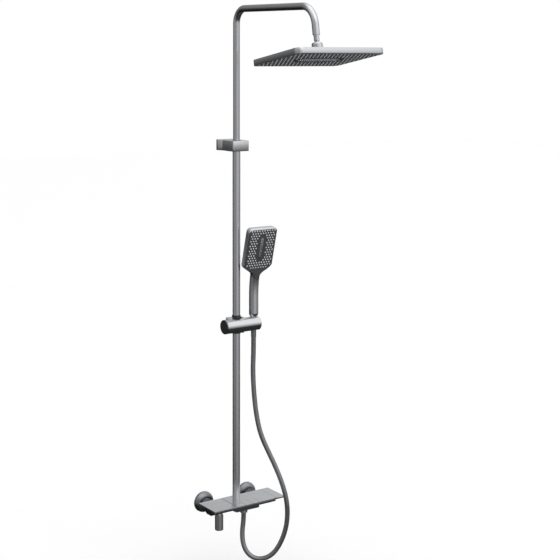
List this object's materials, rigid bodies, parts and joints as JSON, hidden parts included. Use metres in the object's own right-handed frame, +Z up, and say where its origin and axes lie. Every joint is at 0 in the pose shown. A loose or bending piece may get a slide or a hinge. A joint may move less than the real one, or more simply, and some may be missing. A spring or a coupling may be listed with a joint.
{
  "type": "rainfall shower column",
  "caption": "Wall shower column: shelf mixer with push keys and temperature lever, telescopic riser, sliding handset holder with hose, tilting rectangular rain head.",
  "frame": {"origin": "on the finished wall, midway between the two inlet axes", "axes": "+X to the right along the wall seen from the room, +Y into the wall, +Z up the riser"},
  "size_m": [0.272, 0.573, 1.6064],
  "materials": {
    "gunmetal": "satin brushed gunmetal plating",
    "gunmetal_dark": "satin dark plating",
    "brass": "turned",
    "steel": "zinc plated",
    "spring_steel": "bright wire",
    "black_plastic": "moulded",
    "grey_plastic": "moulded",
    "nozzle_plate": "moulded",
    "rubber": "matte",
    "hose_pvc": "smooth grey jacket",
    "valve_ceramic": "glazed"
  },
  "bodies": {
    "root": {"inlet_union_left": "brass", "inlet_union_right": "brass", "escutcheon_left": "gunmetal", "escutcheon_right": "gunmetal", "union_nut_left": "gunmetal_dark", "union_nut_right": "gunmetal_dark", "inlet_strainers": "rubber", "check_valves": "black_plastic", "mixer_body": "gunmetal_dark", "shelf_plate": "gunmetal", "shelf_studs": "steel", "stop_cartridge_spout": "black_plastic", "stop_cartridge_hand": "black_plastic", "stop_cartridge_rain": "black_plastic", "thermostat_cartridge": "valve_ceramic", "cartridge_nut": "brass", "spout_nozzle": "gunmetal", "spout_aerator": "black_plastic", "hose_outlet": "brass", "hose_nut_lower": "gunmetal", "riser_seal": "rubber", "lower_riser": "gunmetal", "wall_flange": "gunmetal", "wall_bracket": "gunmetal", "wall_screws": "steel", "hose": "hose_pvc"},
    "spout_key": {"key_spout": "gunmetal", "plunger_spout": "brass", "key_spring_spout": "spring_steel"},
    "hand_key": {"key_hand": "gunmetal", "plunger_hand": "brass", "key_spring_hand": "spring_steel"},
    "rain_key": {"key_rain": "gunmetal", "plunger_rain": "brass", "key_spring_rain": "spring_steel"},
    "lever": {"temperature_lever": "gunmetal", "thermostat_spindle": "brass"},
    "gland": {"riser_gland": "black_plastic"},
    "arm": {"shower_arm": "gunmetal", "ball_stem": "gunmetal"},
    "ball_ring_1": {"ball_seat_upper": "black_plastic"},
    "ball_ring_2": {"ball_seat_lower": "black_plastic"},
    "rain_head": {"head_collar": "gunmetal", "head_shell": "gunmetal", "head_gasket": "rubber", "nozzle_plate": "nozzle_plate"},
    "slider": {"slider_body": "gunmetal", "slider_cap": "gunmetal_dark", "riser_bush": "black_plastic", "clamp_shoe": "black_plastic", "button_spring": "spring_steel"},
    "release_button": {"slider_button": "gunmetal"},
    "hose_end": {"hose_cone_nut": "gunmetal", "hose_sleeve": "hose_pvc"},
    "handset": {"handset_shell": "gunmetal", "handset_face": "nozzle_plate", "spray_insert": "grey_plastic", "handset_core": "black_plastic"},
    "mode_key": {"mode_button": "gunmetal"}
  },
  "joints": [
    {"name": "spout_key_press", "type": "slide", "parent": "root", "child": "spout_key", "axis": [0, 0, -1], "range_m": [0, 0.003], "stiffness_N_per_m": 900, "springref_m": -0.0015, "deforming": ["key_spring_spout"]},
    {"name": "hand_key_press", "type": "slide", "parent": "root", "child": "hand_key", "axis": [0, 0, -1], "range_m": [0, 0.003], "stiffness_N_per_m": 900, "springref_m": -0.0015, "deforming": ["key_spring_hand"]},
    {"name": "rain_key_press", "type": "slide", "parent": "root", "child": "rain_key", "axis": [0, 0, -1], "range_m": [0, 0.003], "stiffness_N_per_m": 900, "springref_m": -0.0015, "deforming": ["key_spring_rain"]},
    {"name": "temperature_turn", "type": "hinge", "parent": "root", "child": "lever", "pos_m": [0.092, -0.064, -0.002], "axis": [1, 0, 0], "range_deg": [-30, 30]},
    {"name": "arm_swing", "type": "hinge", "parent": "root", "child": "gland", "pos_m": [0, -0.064, 1.06], "axis": [0, 0, 1], "range_deg": [-60, 60]},
    {"name": "arm_height", "type": "slide", "parent": "gland", "child": "arm", "axis": [0, 0, 1], "range_m": [-0.25, 0.1]},
    {"name": "head_tilt", "type": "hinge", "parent": "arm", "child": "ball_ring_1", "pos_m": [0, -0.43543, 1.32218], "axis": [1, 0, 0], "range_deg": [-12, 12]},
    {"name": "head_roll", "type": "hinge", "parent": "ball_ring_1", "child": "ball_ring_2", "pos_m": [0, -0.43543, 1.32218], "axis": [0, 0.9857, -0.1685], "range_deg": [-12, 12]},
    {"name": "head_turn", "type": "hinge", "parent": "ball_ring_2", "child": "rain_head", "pos_m": [0, -0.43543, 1.32218], "axis": [0, 0.1685, 0.9857], "continuous": true},
    {"name": "slider_height", "type": "slide", "parent": "root", "child": "slider", "axis": [0, 0, 1], "range_m": [-0.3, 0.17], "deforming": ["hose"]},
    {"name": "slider_release", "type": "slide", "parent": "slider", "child": "release_button", "axis": [0, 0, -1], "range_m": [0, 0.003], "stiffness_N_per_m": 900, "springref_m": -0.0015, "deforming": ["button_spring"]},
    {"name": "handset_lift", "type": "slide", "parent": "slider", "child": "hose_end", "axis": [0, 0, 1], "range_m": [0, 0.045]},
    {"name": "handset_turn", "type": "hinge", "parent": "hose_end", "child": "handset", "pos_m": [0.0555, -0.07, 0.553], "axis": [0, 0, 1], "range_deg": [-4, 120]},
    {"name": "mode_press", "type": "slide", "parent": "handset", "child": "mode_key", "axis": [0, 0.9686, 0.2487], "range_m": [0, 0.002], "stiffness_N_per_m": 900, "springref_m": -0.001}
  ]
}
